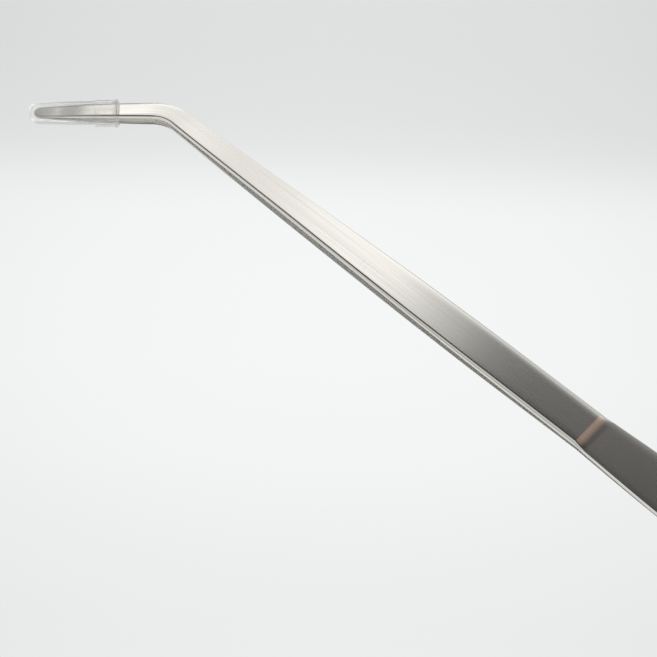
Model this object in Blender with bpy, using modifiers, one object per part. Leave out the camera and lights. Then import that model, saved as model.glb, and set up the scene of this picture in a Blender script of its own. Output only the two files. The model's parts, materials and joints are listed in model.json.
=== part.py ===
"""Long angled tweezers with a plastic tip cap, as an assembly of solids.

Two mirror-image steel arms lie one above the other, with the plane between
them at the middle of the assembly's height.  Each arm is bent edgewise near
its tip, carries a bevel along both outer edges, and drops to a thinner spring
leaf behind a cross step.  The spring leaf bends when the arms open, so each
arm is two pieces here: a blade in front of the bending line and a tail behind
it.  Two weld nuggets hold the tails together, and a moulded cap with a collar
and a flange at its mouth holds the tips closed.

Lengths below are in millimetres; MM turns them into metres.
Distances named s run along the arm's middle line from its tip.
"""
import math

import bmesh
import bpy
from mathutils import Matrix, Vector

MM = 0.001

# ---- overall layout ---------------------------------------------------------
TIP_LENGTH = 47.2          # tip end to the corner of the bend
REAR_LENGTH = 253.0        # corner of the bend to the end of the tail
BEND_ANGLE = 44.0          # degrees, edgewise
BEND_RADIUS = 14.0         # of the middle line
HINGE_FROM_CORNER = 216.0  # bending line of the spring leaves
SPLIT = 0.3                # gap between blade and tail at the bending line

# ---- cross-section ----------------------------------------------------------
STEP_FROM_CORNER = 184.5   # corner of the bend to where the outer face drops
STEP_RUN = 3.0             # length of the concave drop
STOCK = 1.5                # thickness of the blade
LEAF = 0.9                # thickness of the spring leaf
LEAF_EDGE = 0.06           # broken edge of the spring leaf
LEAN_IN = 1.03             # the side walls lean: full width at the inner face
LEAN_OUT = 0.983           # and less where the bevel starts, as shares of the width

# half width of the arm at distances s
WIDTH_STATIONS = ((0.0, 2.1), (8.0, 2.55), (20.0, 3.0), (40.0, 3.32),
                  (58.0, 3.8), (112.0, 5.2), (150.0, 6.25), (168.0, 6.7),
                  (194.0, 7.0), (231.0, 7.05), (237.0, 7.3), (248.0, 7.9),
                  (262.0, 8.5), (275.0, 8.8), (300.0, 8.3))
# thickness of the blade at distances s
THICK_STATIONS = ((0.0, 0.45), (4.0, 0.7), (8.0, 0.88), (20.0, 1.1),
                  (30.0, 1.25), (40.0, 1.35), (80.0, STOCK), (240.0, STOCK))
# half of the gap between the two arms at distances s
GAP_STATIONS = ((0.0, 0.15), (8.0, 0.2), (20.0, 0.72), (30.0, 0.92),
                (40.0, 0.95), (58.0, 0.74), (80.0, 0.9), (115.0, 1.14),
                (150.0, 1.14), (180.0, 1.0), (200.0, 0.84), (231.0, 0.46),
                (246.0, 0.32), (262.0, 0.2), (274.0, 0.15), (301.0, 0.15))
# bevel along the outer edges at distances s
BEVEL_STATIONS = ((0.0, 0.12), (20.0, 0.2), (40.0, 0.27), (58.0, 0.3),
                  (230.0, 0.87), (300.0, 0.87))
TIP_ROUND = 2.2            # length of the rounded tip end
TAIL_ROUND = 6.0           # length of the rounded tail end

# ---- tip cap, radii about the tip's axis, a measured from the tip end -------
CAP_DOME_END = -2.15
CAP_DOME_BASE = 1.0
CAP_COLLAR_START = 21.3
CAP_FLANGE_START = 28.5
CAP_MOUTH = 29.2
CAP_R_DOME = 3.85
CAP_R_TUBE = 4.2
CAP_R_COLLAR = 4.7
CAP_R_FLANGE = 4.88
CAP_WALL = 0.42
CAP_R_COLLAR_BORE = 4.15
CAP_SEGMENTS = 40

# ---- weld nuggets -----------------------------------------------------------
NUGGET_FROM_CORNER = (236.5, 244.5)
NUGGET_R = 2.0
NUGGET_HALF = 0.45
NUGGET_CLEAR = 0.3

STEEL = (0.62, 0.61, 0.59, 1.0)
WELD_STEEL = (0.50, 0.49, 0.48, 1.0)
CAP_PLASTIC = (0.86, 0.88, 0.88, 1.0)


def clear_scene():
    for obj in list(bpy.data.objects):
        bpy.data.objects.remove(obj, do_unlink=True)


def eased(stations, s):
    """Value at s on a smooth curve through the stations, without overshoot."""
    if s <= stations[0][0]:
        return stations[0][1]
    if s >= stations[-1][0]:
        return stations[-1][1]
    n = len(stations)
    slope = [(stations[i + 1][1] - stations[i][1]) /
             (stations[i + 1][0] - stations[i][0]) for i in range(n - 1)]
    tangent = [slope[0]]
    for i in range(1, n - 1):
        a, b = slope[i - 1], slope[i]
        tangent.append(0.0 if a * b <= 0 else 2.0 * a * b / (a + b))
    tangent.append(slope[-1])
    for i in range(n - 1):
        s0, v0 = stations[i]
        s1, v1 = stations[i + 1]
        if s <= s1:
            h = s1 - s0
            u = (s - s0) / h
            return ((2 * u**3 - 3 * u**2 + 1) * v0
                    + (u**3 - 2 * u**2 + u) * h * tangent[i]
                    + (-2 * u**3 + 3 * u**2) * v1
                    + (u**3 - u**2) * h * tangent[i + 1])
    return stations[-1][1]


TURN = math.radians(BEND_ANGLE)
TANGENT = BEND_RADIUS * math.tan(TURN / 2)
ARC = BEND_RADIUS * TURN
ARC_START = TIP_LENGTH - TANGENT
ARC_END = ARC_START + ARC
TOTAL = ARC_END + REAR_LENGTH - TANGENT
HINGE_S = ARC_END + HINGE_FROM_CORNER - TANGENT
STEP_AT = ARC_END + STEP_FROM_CORNER - TANGENT


def middle_line(s):
    """Point and heading of the middle line, corner at the origin, +X rearward."""
    if s >= ARC_END:
        return TANGENT + (s - ARC_END), 0.0, 0.0
    if s <= ARC_START:
        back = TIP_LENGTH - s
        return (-back * math.cos(TURN), -back * math.sin(TURN), TURN)
    phi = (ARC_END - s) / BEND_RADIUS
    return (TANGENT - BEND_RADIUS * math.sin(phi),
            -BEND_RADIUS * (1 - math.cos(phi)), phi)


def section(s):
    """Half width, inner height, outer height and bevel at s."""
    w = eased(WIDTH_STATIONS, s)
    if s < TIP_ROUND:
        w *= math.sqrt(max(0.0, 1 - (1 - s / TIP_ROUND) ** 2))
    if s > TOTAL - TAIL_ROUND:
        u = (s - (TOTAL - TAIL_ROUND)) / TAIL_ROUND
        w *= max(0.0, 1 - u**2.6) ** (1 / 2.6)
    inner = eased(GAP_STATIONS, s)
    u = min(1.0, max(0.0, (s - STEP_AT) / STEP_RUN))
    drop = 1 - (1 - u) ** 2
    thick = eased(THICK_STATIONS, s) * (1 - drop) + LEAF * drop
    bevel = eased(BEVEL_STATIONS, s)
    v = min(1.0, max(0.0, (s - STEP_AT + 0.4) / (0.6 * STEP_RUN)))
    bevel = bevel * (1 - v) + LEAF_EDGE * v
    return w, inner, inner + thick, min(bevel, 0.45 * thick)


def ring(s, side):
    """Six corners of the section at s, side +1 for the upper arm."""
    x, y, heading = middle_line(s)
    w, zi, zo, b = section(s)
    nx, ny = -math.sin(heading), math.cos(heading)
    wi, wo = w * LEAN_IN, w * LEAN_OUT
    corners = ((-wi, zi), (wi, zi), (wo, zo - b), (wo - b, zo), (b - wo, zo), (-wo, zo - b))
    return [Vector((x + l * nx, y + l * ny, side * z)) * MM for l, z in corners]


def spaced(a, b, step):
    n = max(1, int(round((b - a) / step)))
    return [a + (b - a) * i / n for i in range(n + 1)]


def arm_stations(start, end):
    """Distances s where the arm's section is drawn, closer where it changes."""
    runs = []
    for i in range(1, 7):                       # rounded tip end
        runs.append(TIP_ROUND * (1 - math.cos(math.radians(90 * i / 7 + 6))))
    runs += spaced(TIP_ROUND, 20.0, 2.6)
    runs += spaced(20.0, ARC_START, 4.0)
    runs += spaced(ARC_START, ARC_END, ARC / 9)
    runs += spaced(ARC_END, STEP_AT - 1.0, 12.0)
    runs += spaced(STEP_AT - 0.4, STEP_AT + STEP_RUN, 0.42)
    runs += spaced(STEP_AT + STEP_RUN, HINGE_S + 10.0, 6.0)
    runs += spaced(HINGE_S + 10.0, TOTAL - TAIL_ROUND, 6.0)
    for i in range(1, 8):                       # rounded tail end
        runs.append(TOTAL - TAIL_ROUND + TAIL_ROUND * math.sin(math.radians(87 * i / 7)))
    kept = [start]
    for s in sorted(set(round(r, 4) for r in runs)):
        if start + 0.12 < s < end - 0.12:
            kept.append(s)
    kept.append(end)
    return kept


def make_material(name, colour, rough, metal):
    mat = bpy.data.materials.new(name)
    mat.use_nodes = True
    bsdf = mat.node_tree.nodes["Principled BSDF"]
    bsdf.inputs["Base Color"].default_value = colour
    bsdf.inputs["Roughness"].default_value = rough
    bsdf.inputs["Metallic"].default_value = metal
    return mat


def mesh_object(name, bm, origin, mat, collection):
    """A named object from bm, with its own origin and material."""
    bmesh.ops.recalc_face_normals(bm, faces=bm.faces)
    bmesh.ops.translate(bm, verts=bm.verts, vec=-origin)
    mesh = bpy.data.meshes.new(name)
    bm.to_mesh(mesh)
    bm.free()
    mesh.materials.append(mat)
    obj = bpy.data.objects.new(name, mesh)
    obj.location = origin
    collection.objects.link(obj)
    return obj


def arm_piece(name, side, start, end, origin, mat, collection):
    """Loft of the arm's section between two distances along the arm."""
    bm = bmesh.new()
    rings = [[bm.verts.new(p) for p in ring(s, side)] for s in arm_stations(start, end)]
    for a, b in zip(rings, rings[1:]):
        for i in range(6):
            j = (i + 1) % 6
            bm.faces.new((a[i], a[j], b[j], b[i]))
    bm.faces.new(rings[0])
    bm.faces.new(rings[-1])
    return mesh_object(name, bm, origin, mat, collection)


def disc_cutter(name, radius, half, centre, collection):
    """An upright cylinder, about centre."""
    bm = bmesh.new()
    bmesh.ops.create_cone(bm, cap_ends=True, segments=28, radius1=radius * MM,
                          radius2=radius * MM, depth=2 * half * MM)
    mesh = bpy.data.meshes.new(name)
    bm.to_mesh(mesh)
    bm.free()
    obj = bpy.data.objects.new(name, mesh)
    obj.location = centre
    collection.objects.link(obj)
    return obj


def cap_profile():
    """Outer line from the dome to the flange, then the bore back to the dome."""
    pts = []
    n = 9
    for i in range(n + 1):
        t = math.radians(90 * i / n)
        a = CAP_DOME_BASE - (CAP_DOME_BASE - CAP_DOME_END) * math.cos(t)
        pts.append((CAP_R_DOME * math.sin(t) ** 0.85, a))
    pts += [(CAP_R_TUBE, CAP_COLLAR_START - 0.35),
            (CAP_R_TUBE + 0.12, CAP_COLLAR_START - 0.08),
            (CAP_R_COLLAR - 0.15, CAP_COLLAR_START),
            (CAP_R_COLLAR, CAP_COLLAR_START + 0.2),
            (CAP_R_COLLAR, CAP_FLANGE_START - 0.1),
            (CAP_R_FLANGE - 0.05, CAP_FLANGE_START),
            (CAP_R_FLANGE, CAP_FLANGE_START + 0.12),
            (CAP_R_FLANGE, CAP_MOUTH - 0.12),
            (CAP_R_FLANGE - 0.12, CAP_MOUTH),
            (CAP_R_COLLAR_BORE + 0.15, CAP_MOUTH),
            (CAP_R_COLLAR_BORE, CAP_MOUTH - 0.15),
            (CAP_R_COLLAR_BORE, CAP_COLLAR_START + 0.6),
            (CAP_R_TUBE - CAP_WALL, CAP_COLLAR_START)]
    for i in range(n + 1):
        t = math.radians(90 * (n - i) / n)
        a = CAP_DOME_BASE - (CAP_DOME_BASE - CAP_DOME_END - CAP_WALL) * math.cos(t)
        pts.append(((CAP_R_DOME - CAP_WALL) * math.sin(t) ** 0.85, a))
    return pts


def tip_cap(mat, collection):
    """Turned cap: a profile spun about the tip's axis with a Screw modifier."""
    mesh = bpy.data.meshes.new("tip_cap")
    bm = bmesh.new()
    # the profile stands on +X and runs from the dome at the top to the mouth
    verts = [bm.verts.new((r * MM, 0.0, -(a - CAP_MOUTH) * MM)) for r, a in cap_profile()]
    for a, b in zip(verts, verts[1:]):
        bm.edges.new((a, b))
    bm.to_mesh(mesh)
    bm.free()
    mesh.materials.append(mat)
    obj = bpy.data.objects.new("tip_cap", mesh)
    collection.objects.link(obj)
    screw = obj.modifiers.new("turned", "SCREW")
    screw.axis = "Z"
    screw.angle = math.radians(360)
    screw.steps = CAP_SEGMENTS
    screw.render_steps = CAP_SEGMENTS
    screw.use_merge_vertices = True
    screw.merge_threshold = 0.00001
    screw.use_smooth_shade = True
    # local +Z points from the mouth to the dome, along the tip's axis
    x, y, heading = middle_line(CAP_MOUTH)
    out = Vector((-math.cos(heading), -math.sin(heading), 0.0))
    up = Vector((0.0, 0.0, 1.0))
    across = up.cross(out)
    turn = Matrix((up, across, out)).transposed().to_4x4()
    turn.translation = Vector((x, y, 0.0)) * MM
    obj.matrix_world = turn
    return obj


def main():
    clear_scene()
    scene = bpy.context.scene
    parts = bpy.data.collections.new("angled_tweezers")
    cutters = bpy.data.collections.new("cutters")
    scene.collection.children.link(parts)
    scene.collection.children.link(cutters)

    blade_u = make_material("upper_blade_steel", STEEL, 0.34, 1.0)
    blade_l = make_material("lower_blade_steel", STEEL, 0.34, 1.0)
    tail_u = make_material("upper_tail_steel", STEEL, 0.34, 1.0)
    tail_l = make_material("lower_tail_steel", STEEL, 0.34, 1.0)
    weld = make_material("weld_steel", WELD_STEEL, 0.5, 1.0)
    plastic = make_material("cap_plastic", CAP_PLASTIC, 0.12, 0.0)

    front_end = HINGE_S - SPLIT / 2
    back_start = HINGE_S + SPLIT / 2
    objects = []
    for side, blade_name, tail_name, blade_mat, tail_mat in (
            (1, "upper_arm_blade", "upper_arm_tail", blade_u, tail_u),
            (-1, "lower_arm_blade", "lower_arm_tail", blade_l, tail_l)):
        w, zi, zo, b = section(HINGE_S)
        axis_point = Vector((HINGE_FROM_CORNER, 0.0, side * (zi + zo) / 2)) * MM
        objects.append(arm_piece(blade_name, side, 0.02, front_end, axis_point,
                                 blade_mat, parts))
        tail_origin = Vector((REAR_LENGTH, 0.0, side * zi)) * MM
        tail = arm_piece(tail_name, side, back_start, TOTAL - 0.01, tail_origin,
                         tail_mat, parts)
        for i, along in enumerate(NUGGET_FROM_CORNER):
            cutter = disc_cutter("pocket_%s_%d" % (tail_name, i),
                                 NUGGET_R + NUGGET_CLEAR, NUGGET_HALF + NUGGET_CLEAR,
                                 Vector((along, 0.0, 0.0)) * MM, cutters)
            cutter.hide_render = True
            cutter.display_type = "WIRE"
            cut = tail.modifiers.new("pocket_%d" % i, "BOOLEAN")
            cut.operation = "DIFFERENCE"
            cut.solver = "EXACT"
            cut.object = cutter
            objects.append(cutter)
        objects.append(tail)

    for nugget_name, along in zip(("front_weld_nugget", "rear_weld_nugget"),
                                  NUGGET_FROM_CORNER):
        bm = bmesh.new()
        centre = Vector((along, 0.0, 0.0)) * MM
        bmesh.ops.create_cone(bm, cap_ends=True, segments=24, radius1=NUGGET_R * MM,
                              radius2=NUGGET_R * MM, depth=2 * NUGGET_HALF * MM,
                              matrix=Matrix.Translation(centre))
        objects.append(mesh_object(nugget_name, bm, centre, weld, parts))

    objects.append(tip_cap(plastic, parts))

    # The frame's origin goes under the middle of the whole outline.
    bpy.context.view_layer.update()
    depsgraph = bpy.context.evaluated_depsgraph_get()
    low = Vector((1e9, 1e9, 1e9))
    high = -low
    for obj in parts.objects:
        seen = obj.evaluated_get(depsgraph)
        for v in seen.data.vertices:
            p = obj.matrix_world @ v.co
            for k in range(3):
                low[k] = min(low[k], p[k])
                high[k] = max(high[k], p[k])
    shift = Vector((-(low.x + high.x) / 2, -(low.y + high.y) / 2, -low.z))
    for obj in objects:
        obj.matrix_world = Matrix.Translation(shift) @ obj.matrix_world
    bpy.context.view_layer.update()


main()
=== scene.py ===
"""Looks for the long angled tweezers: fine meshes, materials, light and camera."""

import json
import math

import bmesh
import bpy
from mathutils import Matrix, Vector


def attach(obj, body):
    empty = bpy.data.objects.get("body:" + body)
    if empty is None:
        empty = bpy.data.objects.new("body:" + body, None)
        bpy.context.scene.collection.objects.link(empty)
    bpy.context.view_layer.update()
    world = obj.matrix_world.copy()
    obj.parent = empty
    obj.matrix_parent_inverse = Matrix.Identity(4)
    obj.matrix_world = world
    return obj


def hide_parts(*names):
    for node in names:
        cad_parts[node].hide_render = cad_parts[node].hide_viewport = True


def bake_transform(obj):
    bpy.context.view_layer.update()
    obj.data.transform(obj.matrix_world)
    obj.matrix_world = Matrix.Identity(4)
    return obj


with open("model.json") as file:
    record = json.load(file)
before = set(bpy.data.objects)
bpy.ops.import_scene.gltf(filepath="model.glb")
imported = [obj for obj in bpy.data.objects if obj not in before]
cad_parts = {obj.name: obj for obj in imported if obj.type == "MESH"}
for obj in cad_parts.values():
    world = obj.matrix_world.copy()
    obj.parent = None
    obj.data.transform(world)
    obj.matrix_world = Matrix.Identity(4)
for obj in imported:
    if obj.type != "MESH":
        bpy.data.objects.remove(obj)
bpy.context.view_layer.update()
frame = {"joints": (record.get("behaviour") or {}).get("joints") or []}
scene = bpy.context.scene

MM = 0.001
# from the corner of the bend, where the lengths are laid out, to the frame's origin
axes = {j["name"]: j["pos_m"] for j in frame["joints"]}
SHIFT = Vector((axes["upper_arm_flex"][0] - 0.216, axes["upper_arm_flex"][1],
                (axes["upper_arm_flex"][2] + axes["lower_arm_flex"][2]) / 2))

# ---- the arm's design, as in the CAD ----------------------------------------
TIP_LENGTH = 47.2
REAR_LENGTH = 253.0
BEND_ANGLE = 44.0
BEND_RADIUS = 14.0
HINGE_FROM_CORNER = 216.0
STEP_FROM_CORNER = 184.5
STEP_RUN = 4.6
STOCK = 1.5
LEAF = 0.9
LEAF_EDGE = 0.06
LEAN_IN = 1.03
LEAN_OUT = 0.983
WIDTH_STATIONS = ((0.0, 2.1), (8.0, 2.55), (20.0, 3.0), (40.0, 3.32),
                  (58.0, 3.8), (112.0, 5.2), (150.0, 6.25), (168.0, 6.7),
                  (194.0, 7.0), (231.0, 7.05), (237.0, 7.3), (248.0, 7.9),
                  (262.0, 8.5), (275.0, 8.8), (300.0, 8.3))
THICK_STATIONS = ((0.0, 0.28), (4.0, 0.55), (8.0, 0.78), (17.0, 1.04), (20.0, 1.07),
                  (24.0, 1.12), (30.0, 1.2), (40.0, 1.35), (80.0, STOCK), (240.0, STOCK))
GAP_STATIONS = ((0.0, 0.15), (8.0, 0.2), (20.0, 0.72), (30.0, 0.92),
                (40.0, 0.95), (58.0, 0.74), (80.0, 0.9), (115.0, 1.14),
                (150.0, 1.14), (180.0, 1.0), (200.0, 0.84), (231.0, 0.46),
                (246.0, 0.32), (262.0, 0.2), (274.0, 0.15), (301.0, 0.15))
BEVEL_STATIONS = ((0.0, 0.12), (20.0, 0.2), (40.0, 0.25), (58.0, 0.26), (90.0, 0.3),
                  (120.0, 0.35), (150.0, 0.46), (170.0, 0.62), (185.0, 0.72),
                  (230.0, 0.87), (300.0, 0.87))
TIP_ROUND = 2.2
TAIL_ROUND = 6.0

CAP_DOME_END = -2.15
CAP_DOME_BASE = 1.0
CAP_COLLAR_START = 21.3
CAP_FLANGE_START = 28.4
CAP_MOUTH = 29.6
CAP_R_DOME = 3.85
CAP_R_TUBE = 4.2
CAP_R_COLLAR = 4.7
CAP_R_FLANGE = 4.88
CAP_WALL = 0.42
CAP_R_COLLAR_BORE = 4.15
CAP_SEGMENTS = 128

# ---- what only the looks have -----------------------------------------------
ROLL_RUN = (3.3, 2.2)      # the broad faces roll off this far before their outer and inner edges
ROLL_SLOPE = (0.19, 0.14)  # slopes that the rolls reach
EDGE_R = 0.13              # broken edges of the stock
GROOVE_PITCH = 0.9         # fine cross grooves on the gripping faces of the tips
GROOVE_DEPTH = 0.10
GROOVES_FROM, GROOVES_TO = 1.6, 19.6
NUGGET_FROM_CORNER = (236.5, 244.5)
NUGGET_R = 2.0

TURN = math.radians(BEND_ANGLE)
TANGENT = BEND_RADIUS * math.tan(TURN / 2)
ARC = BEND_RADIUS * TURN
ARC_START = TIP_LENGTH - TANGENT
ARC_END = ARC_START + ARC
TOTAL = ARC_END + REAR_LENGTH - TANGENT
HINGE_S = ARC_END + HINGE_FROM_CORNER - TANGENT
STEP_AT = ARC_END + STEP_FROM_CORNER - TANGENT


def eased(stations, s):
    """Value at s on a smooth curve through the stations, without overshoot."""
    if s <= stations[0][0]:
        return stations[0][1]
    if s >= stations[-1][0]:
        return stations[-1][1]
    n = len(stations)
    slope = [(stations[i + 1][1] - stations[i][1]) /
             (stations[i + 1][0] - stations[i][0]) for i in range(n - 1)]
    tangent = [slope[0]]
    for i in range(1, n - 1):
        a, b = slope[i - 1], slope[i]
        tangent.append(0.0 if a * b <= 0 else 2.0 * a * b / (a + b))
    tangent.append(slope[-1])
    for i in range(n - 1):
        s0, v0 = stations[i]
        s1, v1 = stations[i + 1]
        if s <= s1:
            h = s1 - s0
            u = (s - s0) / h
            return ((2 * u**3 - 3 * u**2 + 1) * v0
                    + (u**3 - 2 * u**2 + u) * h * tangent[i]
                    + (-2 * u**3 + 3 * u**2) * v1
                    + (u**3 - u**2) * h * tangent[i + 1])
    return stations[-1][1]


def smooth(t):
    t = min(1.0, max(0.0, t))
    return t * t * (3 - 2 * t)


def middle_line(s):
    """Point and heading of the middle line, corner at the origin, +X rearward."""
    if s >= ARC_END:
        return TANGENT + (s - ARC_END), 0.0, 0.0
    if s <= ARC_START:
        back = TIP_LENGTH - s
        return (-back * math.cos(TURN), -back * math.sin(TURN), TURN)
    phi = (ARC_END - s) / BEND_RADIUS
    return (TANGENT - BEND_RADIUS * math.sin(phi),
            -BEND_RADIUS * (1 - math.cos(phi)), phi)


def section(s):
    """Half width, inner height, outer height and bevel at s."""
    w = eased(WIDTH_STATIONS, s)
    if s < TIP_ROUND:
        w *= math.sqrt(max(0.0, 1 - (1 - s / TIP_ROUND) ** 2))
    if s > TOTAL - TAIL_ROUND:
        u = (s - (TOTAL - TAIL_ROUND)) / TAIL_ROUND
        w *= max(0.0, 1 - u**2.6) ** (1 / 2.6)
    inner = eased(GAP_STATIONS, s)
    u = min(1.0, max(0.0, (s - STEP_AT) / STEP_RUN))
    drop = 1 - (1 - u) ** 2.3
    thick = eased(THICK_STATIONS, s) * (1 - drop) + LEAF * drop
    bevel = eased(BEVEL_STATIONS, s)
    bevel = bevel - (bevel - LEAF_EDGE) * u**0.7
    return w, inner, inner + thick, min(bevel, 0.45 * thick)


def groove(s):
    """Depth of the cross grooves at s."""
    if not GROOVES_FROM < s < GROOVES_TO:
        return 0.0
    fade = smooth((s - GROOVES_FROM) / 0.5) * smooth((GROOVES_TO - s) / 0.5)
    wave = 0.5 - 0.5 * math.cos(2 * math.pi * (s - GROOVES_FROM) / GROOVE_PITCH)
    return GROOVE_DEPTH * fade * wave


def filleted(corners, radii, arcs, splits):
    """Closed outline with rounded corners: arcs[i] points round corner i, then
    splits[i] points along the side that follows it."""
    n = len(corners)
    reach = []
    for i in range(n):
        p, q, r = (Vector(corners[i - 1]), Vector(corners[i]),
                   Vector(corners[(i + 1) % n]))
        a, b = (q - p).normalized(), (r - q).normalized()
        turn = math.acos(max(-1.0, min(1.0, a.dot(b))))
        reach.append((radii[i] * math.tan(turn / 2), a, b, turn))
    sides = [(Vector(corners[(i + 1) % n]) - Vector(corners[i])).length for i in range(n)]
    length = [x[0] for x in reach]
    for i in range(n):
        j = (i + 1) % n
        total = length[i] + length[j]
        if total > 0.92 * sides[i]:
            k = 0.92 * sides[i] / total
            length[i] = min(length[i], reach[i][0] * k)
            length[j] = min(length[j], reach[j][0] * k)
    ends = []
    pts = []
    for i in range(n):
        q = Vector(corners[i])
        _, a, b, turn = reach[i]
        t = length[i]
        start, end = q - a * t, q + b * t
        radius = t / math.tan(turn / 2)
        centre = start + Vector((-a.y, a.x)) * radius
        arc = []
        for k in range(arcs[i]):
            ang = turn * k / (arcs[i] - 1)
            d = start - centre
            c, s = math.cos(ang), math.sin(ang)
            arc.append(centre + Vector((d.x * c - d.y * s, d.x * s + d.y * c)))
        ends.append((arc, end))
    for i in range(n):
        arc, end = ends[i]
        nxt = ends[(i + 1) % n][0][0]
        pts += arc
        for f in splits[i]:
            pts.append(end.lerp(nxt, f))
    return pts


EVEN = (0.02, 0.06, 0.11, 0.17, 0.24, 0.33, 0.5, 0.67, 0.76, 0.83, 0.89, 0.94, 0.98)
SPLITS = (EVEN, (0.15, 0.5, 0.85), (0.12, 0.5, 0.88), EVEN, (0.12, 0.5, 0.88),
          (0.15, 0.5, 0.85))
ARCS = (4, 4, 4, 6, 6, 4)


def outline(s):
    """Section at s as (across, height) points, counter-clockwise seen from the rear."""
    w, zi, zo, b = section(s)
    w = max(w, 0.05)
    zi += groove(s)
    thick = zo - zi
    wi, wo = w * LEAN_IN, w * LEAN_OUT
    corners = ((-wi, zi), (wi, zi), (wo, zo - b), (wo - b, zo), (b - wo, zo), (-wo, zo - b))
    small = min(EDGE_R, 0.3 * thick, 0.5 * w)
    leaf = smooth((s - STEP_AT) / STEP_RUN)
    face_r = min(1.4 * b, 0.6) * (1 - leaf) + 0.05 * leaf
    edge_r = small * (1 - leaf) + 0.04 * leaf
    inner_r = small * (1 - leaf) + 0.07 * leaf
    pts = filleted(corners, (inner_r, inner_r, edge_r, face_r, face_r, edge_r), ARCS, SPLITS)
    edge = max(wo - b, 0.6 * w)
    out = []
    for p in pts:
        side = 0 if p.x > 0 else 1
        run = min(ROLL_RUN[side], 0.42 * w)
        up = smooth((p.y - zi) / max(thick, 1e-6))
        t = min(1.2, max(0.0, (abs(p.x) - edge + run) / run))
        out.append((p.x, p.y - ROLL_SLOPE[side] * run / 3 * up * t**3 * (1 - 0.6 * leaf)))
    return out


def spaced(a, b, step):
    n = max(1, int(round((b - a) / step)))
    return [a + (b - a) * i / n for i in range(n + 1)]


def arm_stations():
    runs = [0.02]
    for i in range(1, 13):
        runs.append(TIP_ROUND * (1 - math.cos(math.radians(90 * i / 12))))
    runs += spaced(TIP_ROUND, GROOVES_TO + 0.4, 0.15)
    runs += spaced(GROOVES_TO + 0.4, ARC_START, 0.9)
    runs += spaced(ARC_START, ARC_END, 0.5)
    runs += spaced(ARC_END, STEP_AT - 1.0, 1.2)
    runs += [STEP_AT - 0.5, STEP_AT - 0.15, STEP_AT - 0.05, STEP_AT, STEP_AT + 0.04]
    runs += spaced(STEP_AT + 0.1, STEP_AT + STEP_RUN, 0.12)
    runs += spaced(STEP_AT + STEP_RUN + 0.15, TOTAL - TAIL_ROUND, 0.8)
    for i in range(1, 26):
        runs.append(TOTAL - TAIL_ROUND + TAIL_ROUND * math.sin(math.radians(88.6 * i / 25)))
    kept = []
    for s in sorted(set(round(r, 5) for r in runs)):
        if not kept or s - kept[-1] > 0.012:
            kept.append(s)
    return kept


def place(s, l, z):
    x, y, heading = middle_line(s)
    return Vector((x - l * math.sin(heading), y + l * math.cos(heading), z)) * MM + SHIFT


def arm(name, side):
    """One whole arm as a single skin, side +1 above the mating plane."""
    stations = arm_stations()
    rings = [outline(s) for s in stations]
    n = len(rings[0])
    bm = bmesh.new()
    uv = bm.loops.layers.uv.new("grain")
    facing = bm.verts.layers.float.new("inner_face")
    verts = [[bm.verts.new(place(s, l, side * z)) for l, z in ring]
             for s, ring in zip(stations, rings)]
    # mark the inner faces, which the steel lightens as painted light in the shaded gap
    first = ARCS[0] - 1
    last = ARCS[0] + len(SPLITS[0])
    for row in verts:
        for k in range(first, last + 1):
            row[k][facing] = 1.0
    around = []
    for ring in rings:
        run = [0.0]
        for k in range(n):
            a, b = ring[k], ring[(k + 1) % n]
            run.append(run[-1] + math.hypot(b[0] - a[0], b[1] - a[1]))
        around.append(run)
    # lay v out from the middle of the broad face, so the grain runs straight
    offset = [run[-1] for run in around]
    mid = sum(ARCS[:4]) + len(SPLITS[0]) + len(SPLITS[1]) + len(SPLITS[2]) + len(EVEN) // 2
    for i in range(len(stations) - 1):
        for k in range(n):
            j = (k + 1) % n
            quad = [verts[i][k], verts[i][j], verts[i + 1][j], verts[i + 1][k]]
            where = [(i, k), (i, k + 1), (i + 1, k + 1), (i + 1, k)]
            if side > 0:
                quad.reverse()
                where.reverse()
            face = bm.faces.new(quad)
            face.smooth = True
            for loop, (a, c) in zip(face.loops, where):
                loop[uv].uv = (stations[a], around[a][c] - around[a][mid])
    for i, order in ((0, side > 0), (len(stations) - 1, side < 0)):
        loop_verts = verts[i] if order else list(reversed(verts[i]))
        face = bm.faces.new(loop_verts)
        face.smooth = False
        for loop in face.loops:
            loop[uv].uv = (stations[i], 0.0)
    bmesh.ops.recalc_face_normals(bm, faces=bm.faces)
    mesh = bpy.data.meshes.new(name)
    bm.to_mesh(mesh)
    bm.free()
    mesh.set_sharp_from_angle(angle=math.radians(38))
    obj = bpy.data.objects.new(name, mesh)
    scene.collection.objects.link(obj)
    return obj


def ring_arc(cr, ca, r, start, end, count):
    """Points (radius, along) round a fillet centred at (cr, ca), angles in degrees."""
    return [(cr + r * math.cos(math.radians(start + (end - start) * i / count)),
             ca + r * math.sin(math.radians(start + (end - start) * i / count)))
            for i in range(count + 1)]


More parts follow.
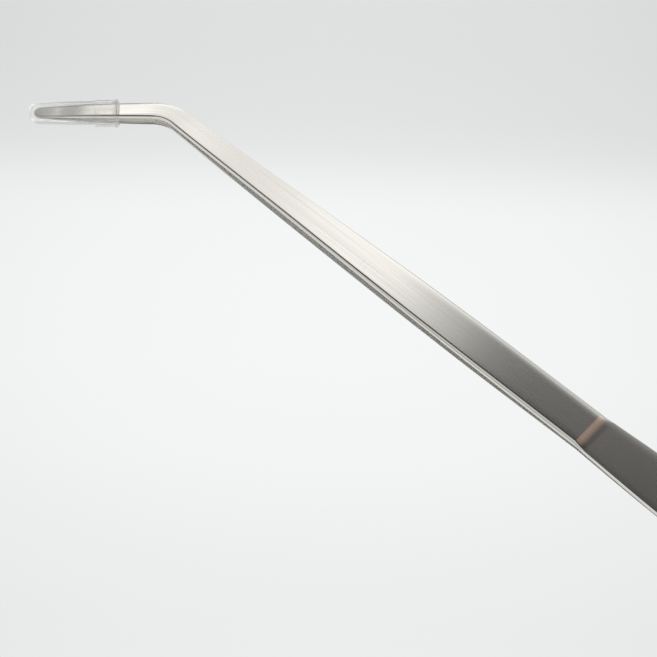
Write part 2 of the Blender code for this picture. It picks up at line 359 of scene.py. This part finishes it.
def cap_profile():
    """Outer line from the dome to the mouth, then the bore back to the dome."""
    out = []
    n = 26
    for i in range(n + 1):
        t = math.radians(90 * i / n)
        a = CAP_DOME_BASE - (CAP_DOME_BASE - CAP_DOME_END) * math.cos(t)
        out.append((CAP_R_DOME * math.sin(t) ** 0.85, a))
    for i in range(1, 12):
        f = i / 12
        out.append((CAP_R_DOME + (CAP_R_TUBE - CAP_R_DOME) * f,
                    CAP_DOME_BASE + (CAP_COLLAR_START - 0.4 - CAP_DOME_BASE) * f))
    for i in range(13):
        f = i / 12
        out.append((CAP_R_TUBE + (CAP_R_COLLAR - CAP_R_TUBE) * smooth(f),
                    CAP_COLLAR_START - 0.35 + 0.7 * f))
    out.append((CAP_R_COLLAR, CAP_COLLAR_START + 2.0))
    out.append((CAP_R_COLLAR, CAP_FLANGE_START - 2.0))
    r = 0.07
    out += ring_arc(CAP_R_COLLAR + r, CAP_FLANGE_START - r, r, 180, 90, 3)
    r = 0.16
    out += ring_arc(CAP_R_FLANGE - r, CAP_FLANGE_START + r, r, -90, 0, 5)
    r = 0.5
    out += ring_arc(CAP_R_FLANGE - r, CAP_MOUTH - r, r, 0, 90, 10)
    r = 0.22
    out += ring_arc(CAP_R_COLLAR_BORE + r, CAP_MOUTH - r, r, 90, 180, 4)
    out.append((CAP_R_COLLAR_BORE, CAP_MOUTH - 3.0))
    out.append((CAP_R_COLLAR_BORE, CAP_COLLAR_START + 2.0))
    r = 0.14
    bore = CAP_R_TUBE - CAP_WALL
    out += ring_arc(CAP_R_COLLAR_BORE - r, CAP_COLLAR_START + 0.6 + r, r, 0, -90, 3)
    out += ring_arc(bore + r, CAP_COLLAR_START + 0.6 - r, r, 90, 180, 3)
    for i in range(1, 12):
        f = i / 12
        out.append((bore + (CAP_R_DOME - CAP_WALL - bore) * f,
                    CAP_COLLAR_START + (CAP_DOME_BASE - CAP_COLLAR_START) * f))
    for i in range(n + 1):
        t = math.radians(90 * (n - i) / n)
        a = CAP_DOME_BASE - (CAP_DOME_BASE - CAP_DOME_END - CAP_WALL) * math.cos(t)
        out.append(((CAP_R_DOME - CAP_WALL) * math.sin(t) ** 0.85, a))
    kept = []
    for p in out:
        if not kept or math.hypot(p[0] - kept[-1][0], p[1] - kept[-1][1]) > 0.01:
            kept.append(p)
    return kept


def tip_cap():
    """Moulded cap, turned about the tip's axis."""
    profile = cap_profile()
    x, y, heading = middle_line(0.0)
    start = Vector((x, y, 0.0)) * MM + SHIFT
    along = Vector((math.cos(heading), math.sin(heading), 0.0))
    across = Vector((-math.sin(heading), math.cos(heading), 0.0))
    up = Vector((0.0, 0.0, 1.0))
    bm = bmesh.new()
    lip = bm.verts.layers.float.new("lip")
    rings = []
    for r, a in profile:
        centre = start + along * (a * MM)
        if r < 1e-4:
            rings.append([bm.verts.new(centre)])
            continue
        ring = []
        for k in range(CAP_SEGMENTS):
            t = 2 * math.pi * k / CAP_SEGMENTS
            ring.append(bm.verts.new(centre + (across * math.cos(t) + up * math.sin(t)) * (r * MM)))
        rings.append(ring)
    for (r, a), ring in zip(profile, rings):
        at_mouth = a > CAP_FLANGE_START - 0.15
        at_collar = abs(a - CAP_COLLAR_START) < 0.3 and r > CAP_R_TUBE
        for v in ring:
            v[lip] = 1.0 if at_mouth else 0.55 if at_collar else 0.0
    for a, b in zip(rings, rings[1:]):
        for k in range(CAP_SEGMENTS):
            j = (k + 1) % CAP_SEGMENTS
            if len(a) == 1:
                bm.faces.new((a[0], b[j], b[k]))
            elif len(b) == 1:
                bm.faces.new((a[k], a[j], b[0]))
            else:
                bm.faces.new((a[k], a[j], b[j], b[k]))
    bmesh.ops.recalc_face_normals(bm, faces=bm.faces)
    for f in bm.faces:
        f.smooth = True
    mesh = bpy.data.meshes.new("clear_tip_cap")
    bm.to_mesh(mesh)
    bm.free()
    mesh.set_sharp_from_angle(angle=math.radians(50))
    obj = bpy.data.objects.new("clear_tip_cap", mesh)
    scene.collection.objects.link(obj)
    return obj


def weld(name, along):
    """Squeezed-out puddle of weld between the two tails, with a wavy rim."""
    bm = bmesh.new()
    half = eased(GAP_STATIONS, ARC_END + along - TANGENT) - 0.012
    centre = Vector((along, 0.0, 0.0)) * MM + SHIFT
    rows = []
    for k in range(9):
        z = -half + 2 * half * k / 8
        swell = 0.10 * math.sqrt(max(0.0, 1 - (z / half) ** 2))
        row = []
        for i in range(48):
            t = 2 * math.pi * i / 48
            r = NUGGET_R - 0.12 + swell + 0.05 * math.sin(3 * t + along) + 0.03 * math.sin(7 * t)
            row.append(bm.verts.new(centre + Vector((r * math.cos(t), r * math.sin(t), z)) * MM))
        rows.append(row)
    for a, b in zip(rows, rows[1:]):
        for i in range(48):
            j = (i + 1) % 48
            bm.faces.new((a[i], a[j], b[j], b[i]))
    bm.faces.new(list(reversed(rows[0])))
    bm.faces.new(rows[-1])
    bmesh.ops.recalc_face_normals(bm, faces=bm.faces)
    mesh = bpy.data.meshes.new(name)
    bm.to_mesh(mesh)
    bm.free()
    for p in mesh.polygons:
        p.use_smooth = True
    mesh.set_sharp_from_angle(angle=math.radians(50))
    obj = bpy.data.objects.new(name, mesh)
    scene.collection.objects.link(obj)
    return obj


# ---- materials --------------------------------------------------------------
class Nodes:
    """Short names for building a node tree."""

    def __init__(self, tree):
        self.tree = tree

    def add(self, kind, **sets):
        node = self.tree.nodes.new(kind)
        for key, value in sets.items():
            setattr(node, key, value)
        return node

    def link(self, a, b):
        self.tree.links.new(a, b)

    def math(self, op, a, b=None, c=None, clamp=False):
        node = self.add("ShaderNodeMath", operation=op, use_clamp=clamp)
        for i, v in enumerate((a, b, c)):
            if v is None:
                continue
            if isinstance(v, (int, float)):
                node.inputs[i].default_value = v
            else:
                self.link(v, node.inputs[i])
        return node.outputs[0]

    def span(self, value, a, b, lo=0.0, hi=1.0, ease=True):
        node = self.add("ShaderNodeMapRange",
                        interpolation_type="SMOOTHSTEP" if ease else "LINEAR")
        self.link(value, node.inputs["Value"])
        node.inputs["From Min"].default_value = a
        node.inputs["From Max"].default_value = b
        node.inputs["To Min"].default_value = lo
        node.inputs["To Max"].default_value = hi
        return node.outputs["Result"]

    def ramp(self, value, stops, ease="LINEAR"):
        node = self.add("ShaderNodeValToRGB")
        node.color_ramp.interpolation = ease
        els = node.color_ramp.elements
        while len(els) > 1:
            els.remove(els[-1])
        els[0].position = stops[0][0]
        for i, (pos, col) in enumerate(stops):
            el = els[0] if i == 0 else els.new(pos)
            el.color = (*col, 1.0) if isinstance(col, tuple) else (col, col, col, 1.0)
        self.link(value, node.inputs[0])
        return node.outputs["Color"]

    def mix(self, factor, a, b):
        node = self.add("ShaderNodeMix", data_type="RGBA")
        for socket, v in ((node.inputs[0], factor), (node.inputs[6], a), (node.inputs[7], b)):
            if isinstance(v, (int, float)) and socket.type == "RGBA":
                socket.default_value = (v, v, v, 1.0)
            elif isinstance(v, tuple):
                socket.default_value = (*v, 1.0)
            elif isinstance(v, (int, float)):
                socket.default_value = v
            else:
                self.link(v, socket)
        return node.outputs[2]

    def noise(self, vector, scale, detail=3.0, rough=0.5):
        node = self.add("ShaderNodeTexNoise")
        self.link(vector, node.inputs["Vector"])
        node.inputs["Scale"].default_value = scale
        node.inputs["Detail"].default_value = detail
        node.inputs["Roughness"].default_value = rough
        return node.outputs["Fac"]

    def stretched(self, vector, sx, sy, sz=1.0, shift=(0, 0, 0)):
        node = self.add("ShaderNodeMapping")
        self.link(vector, node.inputs["Vector"])
        node.inputs["Scale"].default_value = (sx, sy, sz)
        node.inputs["Location"].default_value = shift
        return node.outputs["Vector"]


def material(name):
    mat = bpy.data.materials.new(name)
    mat.use_nodes = True
    tree = mat.node_tree
    bsdf = tree.nodes["Principled BSDF"]
    return mat, Nodes(tree), bsdf


def steel(name, base=(0.75, 0.73, 0.685), rough=0.175, shift=0.0):
    """Ground stainless steel: fine lengthwise grain, faint cross marks. The inner faces get painted
    light: a lighter, rougher, less metallic finish that lifts the shade in the gap between the
    arms.
    """
    mat, n, bsdf = material(name)
    bsdf.inputs["Metallic"].default_value = 1.0
    grain_uv = n.add("ShaderNodeUVMap", uv_map="grain").outputs["UV"]
    fine = n.noise(n.stretched(grain_uv, 0.035, 7.0, shift=(shift, 0, 0)), 1.0, 4.0, 0.6)
    wide = n.noise(n.stretched(grain_uv, 0.012, 1.7, shift=(shift, 5, 0)), 1.0, 3.0, 0.55)
    cross = n.noise(n.stretched(grain_uv, 2.6, 0.16, shift=(shift, 9, 0)), 1.0, 2.0, 0.5)
    cloud = n.noise(n.stretched(grain_uv, 0.05, 0.18, shift=(shift, 2, 0)), 1.0, 2.0, 0.5)
    where = n.span(cloud, 0.48, 0.66)
    marks = n.math("MULTIPLY", n.span(cross, 0.60, 0.74), where)
    lines = n.math("ADD", n.math("MULTIPLY", fine, 0.45), n.math("MULTIPLY", wide, 0.55))
    tone = n.ramp(lines, ((0.38, tuple(0.92 * c for c in base)), (0.5, base),
                          (0.62, tuple(min(1.0, 1.055 * c) for c in base))))
    dull = n.mix(n.math("MULTIPLY", marks, 0.35), tone, tuple(0.80 * c for c in base))
    # painted light: the inner faces are lightened and made less metallic so the shaded gap between
    # the arms reads brighter
    inside = n.add("ShaderNodeAttribute", attribute_name="inner_face").outputs["Fac"]
    painted_gap_light = n.mix(inside, dull, (1.0, 0.985, 0.96))
    n.link(painted_gap_light, bsdf.inputs["Base Color"])
    r = n.span(lines, 0.3, 0.7, rough + 0.03, rough - 0.03, ease=False)
    r = n.math("ADD", r, n.math("MULTIPLY", marks, 0.05))
    r = n.math("ADD", r, n.math("MULTIPLY", inside, 0.10))
    n.link(r, bsdf.inputs["Roughness"])
    n.link(n.math("MULTIPLY_ADD", inside, -0.30, 1.0), bsdf.inputs["Metallic"])
    bump = n.add("ShaderNodeBump")
    bump.inputs["Strength"].default_value = 0.18
    bump.inputs["Distance"].default_value = 0.00002
    n.link(lines, bump.inputs["Height"])
    n.link(bump.outputs["Normal"], bsdf.inputs["Normal"])
    return mat


def weld_steel(name):
    mat, n, bsdf = material(name)
    bsdf.inputs["Metallic"].default_value = 1.0
    place_at = n.add("ShaderNodeTexCoord").outputs["Object"]
    cloud = n.noise(place_at, 1400.0, 3.0, 0.6)
    n.link(n.ramp(cloud, ((0.3, (0.34, 0.33, 0.34)), (0.55, (0.52, 0.50, 0.47)),
                          (0.75, (0.58, 0.54, 0.46)))), bsdf.inputs["Base Color"])
    n.link(n.span(cloud, 0.3, 0.7, 0.6, 0.42), bsdf.inputs["Roughness"])
    bump = n.add("ShaderNodeBump")
    bump.inputs["Strength"].default_value = 0.4
    bump.inputs["Distance"].default_value = 0.00004
    n.link(cloud, bump.inputs["Height"])
    n.link(bump.outputs["Normal"], bsdf.inputs["Normal"])
    return mat


def clear_plastic(name):
    """Soft clear vinyl: faint flow marks along the moulding."""
    mat, n, bsdf = material(name)
    bsdf.inputs["Transmission Weight"].default_value = 1.0
    bsdf.inputs["IOR"].default_value = 1.45
    rim = n.add("ShaderNodeLayerWeight")
    rim.inputs["Blend"].default_value = 0.5
    edge = n.span(rim.outputs["Facing"], 0.48, 0.86, 0.12, 0.95)
    lip = n.add("ShaderNodeAttribute", attribute_name="lip").outputs["Fac"]
    n.link(n.math("MAXIMUM", edge, n.math("MULTIPLY", lip, 0.56)), bsdf.inputs["Alpha"])
    place_at = n.add("ShaderNodeTexCoord").outputs["Object"]
    turned = n.add("ShaderNodeMapping")
    turned.inputs["Rotation"].default_value = (0.0, 0.0, -TURN)
    n.link(place_at, turned.inputs["Vector"])
    flow = n.noise(n.stretched(turned.outputs["Vector"], 60.0, 500.0, 500.0), 1.0, 2.0, 0.5)
    n.link(n.ramp(flow, ((0.3, (0.988, 0.993, 0.991)), (0.7, (1.0, 1.0, 1.0)))),
           bsdf.inputs["Base Color"])
    n.link(n.span(flow, 0.3, 0.7, 0.012, 0.0), bsdf.inputs["Roughness"])
    bump = n.add("ShaderNodeBump")
    bump.inputs["Strength"].default_value = 0.02
    bump.inputs["Distance"].default_value = 0.00005
    n.link(flow, bump.inputs["Height"])
    n.link(bump.outputs["Normal"], bsdf.inputs["Normal"])
    return mat


# ---- pieces -----------------------------------------------------------------
upper = arm("upper_arm", 1)
lower = arm("lower_arm", -1)
upper.data.materials.append(steel("ground_steel_upper"))
lower.data.materials.append(steel("ground_steel_lower", shift=37.0))
for piece, body, nodes in ((upper, "upper_arm", ("upper_arm_blade", "upper_arm_tail")),
                           (lower, "lower_arm", ("lower_arm_blade", "lower_arm_tail"))):
    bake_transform(piece)
    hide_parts(*nodes)

for name, node, at in (("front_weld", "front_weld_nugget", NUGGET_FROM_CORNER[0]),
                       ("rear_weld", "rear_weld_nugget", NUGGET_FROM_CORNER[1])):
    spot = weld(name, at)
    spot.data.materials.append(weld_steel("as_" + name))
    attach(spot, "tail")
    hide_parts(node)

cap = tip_cap()
cap.data.materials.append(clear_plastic("clear_vinyl"))
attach(cap, "cap")
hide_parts("tip_cap")

# ---- camera -----------------------------------------------------------------
cam_data = bpy.data.cameras.new("camera")
cam_data.lens = 77.268
cam_data.sensor_width = 36.0
cam_data.clip_start = 0.01
cam_data.clip_end = 20.0
camera = bpy.data.objects.new("camera", cam_data)
scene.collection.objects.link(camera)
right = Vector((0.724997, 0.688545, 0.016912))
above = Vector((-0.575123, 0.591694, 0.564918))
behind = Vector((0.378964, -0.41929, 0.824974))
turn = Matrix((right, above, behind)).transposed().to_4x4()
turn.translation = SHIFT + Vector((0.271224, -0.213482, 0.36634))
camera.matrix_world = turn
scene.camera = camera

# ---- floor and light --------------------------------------------------------
FLOOR_Z = -0.2
floor_mesh = bpy.data.meshes.new("floor")
fb = bmesh.new()
bmesh.ops.create_grid(fb, x_segments=8, y_segments=8, size=4.0)
fb.to_mesh(floor_mesh)
fb.free()
floor = bpy.data.objects.new("floor", floor_mesh)
floor.location = (0.0, 0.0, FLOOR_Z)
scene.collection.objects.link(floor)

mat = bpy.data.materials.new("pale_floor")
mat.use_nodes = True
tree = mat.node_tree
tree.nodes.clear()
n = Nodes(tree)
pos = n.add("ShaderNodeNewGeometry").outputs["Position"]
sep = n.add("ShaderNodeSeparateXYZ")
n.link(pos, sep.inputs[0])
px, py = sep.outputs[0], sep.outputs[1]
far_dir = Vector((-0.6705, 0.7419))
far = n.math("ADD", n.math("MULTIPLY", px, far_dir.x), n.math("MULTIPLY", py, far_dir.y))
cam_far = 0.16314 * far_dir.x + -0.200022 * far_dir.y
far = n.math("SUBTRACT", far, cam_far)
side_way = n.math("ADD", n.math("MULTIPLY", px, far_dir.y), n.math("MULTIPLY", py, -far_dir.x))
side_way = n.math("SUBTRACT", side_way, 0.16314 * far_dir.y + 0.200022 * far_dir.x)
# painted pool of light on the glowing floor: pale in the middle, greyer at the back and the sides
painted_light_pool = n.ramp(n.math("DIVIDE", far, 1.0), (
    (0.00, 0.82), (0.24, 0.85), (0.27, 0.87), (0.32, 0.912), (0.37, 0.93),
    (0.42, 0.93), (0.462, 0.92), (0.474, 0.902), (0.486, 0.875), (0.498, 0.835),
    (0.511, 0.80), (0.53, 0.775), (0.58, 0.758), (1.0, 0.74)), "LINEAR")
q = n.math("MULTIPLY", side_way, side_way)
painted_side_falloff = n.span(q, 0.0, 0.09, 1.0, 0.86, ease=False)
strength = n.math("MULTIPLY", painted_light_pool, painted_side_falloff)
# painted shadow: a dark band on the floor beneath the object, which only reflections see; camera
# and transmission rays see the painted pool of light
painted_shadow_under = n.span(py, -0.14, -0.09, 0.88, 0.16)
painted_shadow_under = n.math("ADD", painted_shadow_under, n.span(py, 0.02, 0.08, 0.0, 0.84))
painted_shadow_under = n.math("SUBTRACT", painted_shadow_under, n.span(py, 0.22, 0.32, 0.0, 0.5))
painted_shadow_under = n.mix(n.span(px, -0.24, -0.16), 0.88, painted_shadow_under)
path = n.add("ShaderNodeLightPath")
seen = n.math("MAXIMUM", path.outputs["Is Camera Ray"], path.outputs["Is Transmission Ray"])
strength = n.mix(seen, painted_shadow_under, strength)
glow = n.add("ShaderNodeEmission")
glow.inputs["Color"].default_value = (0.982, 1.0, 0.992, 1.0)
n.link(strength, glow.inputs["Strength"])
clear = n.add("ShaderNodeBsdfTransparent")
pick = n.add("ShaderNodeMixShader")
n.link(n.add("ShaderNodeNewGeometry").outputs["Backfacing"], pick.inputs[0])
n.link(glow.outputs[0], pick.inputs[1])
n.link(clear.outputs[0], pick.inputs[2])
out = n.add("ShaderNodeOutputMaterial")
n.link(pick.outputs[0], out.inputs["Surface"])
floor_mesh.materials.append(mat)

world = bpy.data.worlds.new("studio")
scene.world = world
world.use_nodes = True
tree = world.node_tree
tree.nodes.clear()
n = Nodes(tree)
direction = n.add("ShaderNodeTexCoord").outputs["Generated"]
sep = n.add("ShaderNodeSeparateXYZ")
n.link(direction, sep.inputs[0])
dx, dy, dz = sep.outputs
# soft panels round the object, by direction
panel = n.ramp(n.math("MULTIPLY_ADD", dx, 0.5, 0.5), (
    (0.00, 0.38), (0.150, 0.36), (0.172, 0.38), (0.182, 0.80), (0.191, 1.50),
    (0.222, 1.62), (0.232, 1.02), (0.242, 0.86), (0.262, 0.95), (0.283, 1.28),
    (0.300, 1.36), (0.322, 1.42), (0.333, 1.12), (0.343, 0.62), (0.354, 0.15),
    (0.370, 0.06), (0.395, 0.10), (0.412, 0.09), (0.43, 0.05), (0.49, 0.04), (0.515, (0.13, 0.095, 0.08)), (0.55, (0.26, 0.185, 0.15)),
    (0.61, (0.36, 0.25, 0.20)), (0.66, (0.32, 0.22, 0.175)), (0.70, (0.15, 0.10, 0.08)),
    (0.85, 0.3), (1.0, 0.5)), "LINEAR")
# a soft rim of light at the back of the dark side
rim = n.ramp(dy, ((0.47, 0.0), (0.52, 0.06), (0.56, 0.13), (0.60, 0.20), (0.64, 0.36),
                  (0.68, 0.62), (0.72, 0.85), (0.76, 0.60), (0.82, 0.35)), "LINEAR")
rim = n.math("MULTIPLY", rim, n.span(dx, -0.38, -0.30))
lit = n.add("ShaderNodeVectorMath", operation="ADD")
n.link(panel, lit.inputs[0])
n.link(rim, lit.inputs[1])
overhead = 0.05
front = 0.70
v = n.mix(n.span(dy, -0.80, -0.68), front, overhead)
v = n.mix(n.span(dy, 0.12, 0.34), v, lit.outputs[0])
horizon = n.math("MULTIPLY", n.span(dz, 0.55, 0.22), n.span(dy, 0.62, 0.80))
v = n.mix(horizon, v, 1.0)
window = n.span(n.math("ADD", dx, n.math("MULTIPLY", n.math("ABSOLUTE", dz), 0.4)), -0.80, -0.93)
v = n.mix(window, v, 2.4)
v = n.mix(n.span(dz, 0.0, -0.08), v, 0.9)
light = n.add("ShaderNodeBackground")
n.link(v, light.inputs["Color"])
plain = n.add("ShaderNodeBackground")
plain.inputs["Color"].default_value = (0.76, 0.765, 0.76, 1.0)
seen = n.add("ShaderNodeLightPath").outputs["Is Camera Ray"]
pick = n.add("ShaderNodeMixShader")
n.link(seen, pick.inputs[0])
n.link(light.outputs[0], pick.inputs[1])
n.link(plain.outputs[0], pick.inputs[2])
out = n.add("ShaderNodeOutputWorld")
n.link(pick.outputs[0], out.inputs["Surface"])

scene.view_settings.view_transform = "Standard"
scene.view_settings.look = "None"
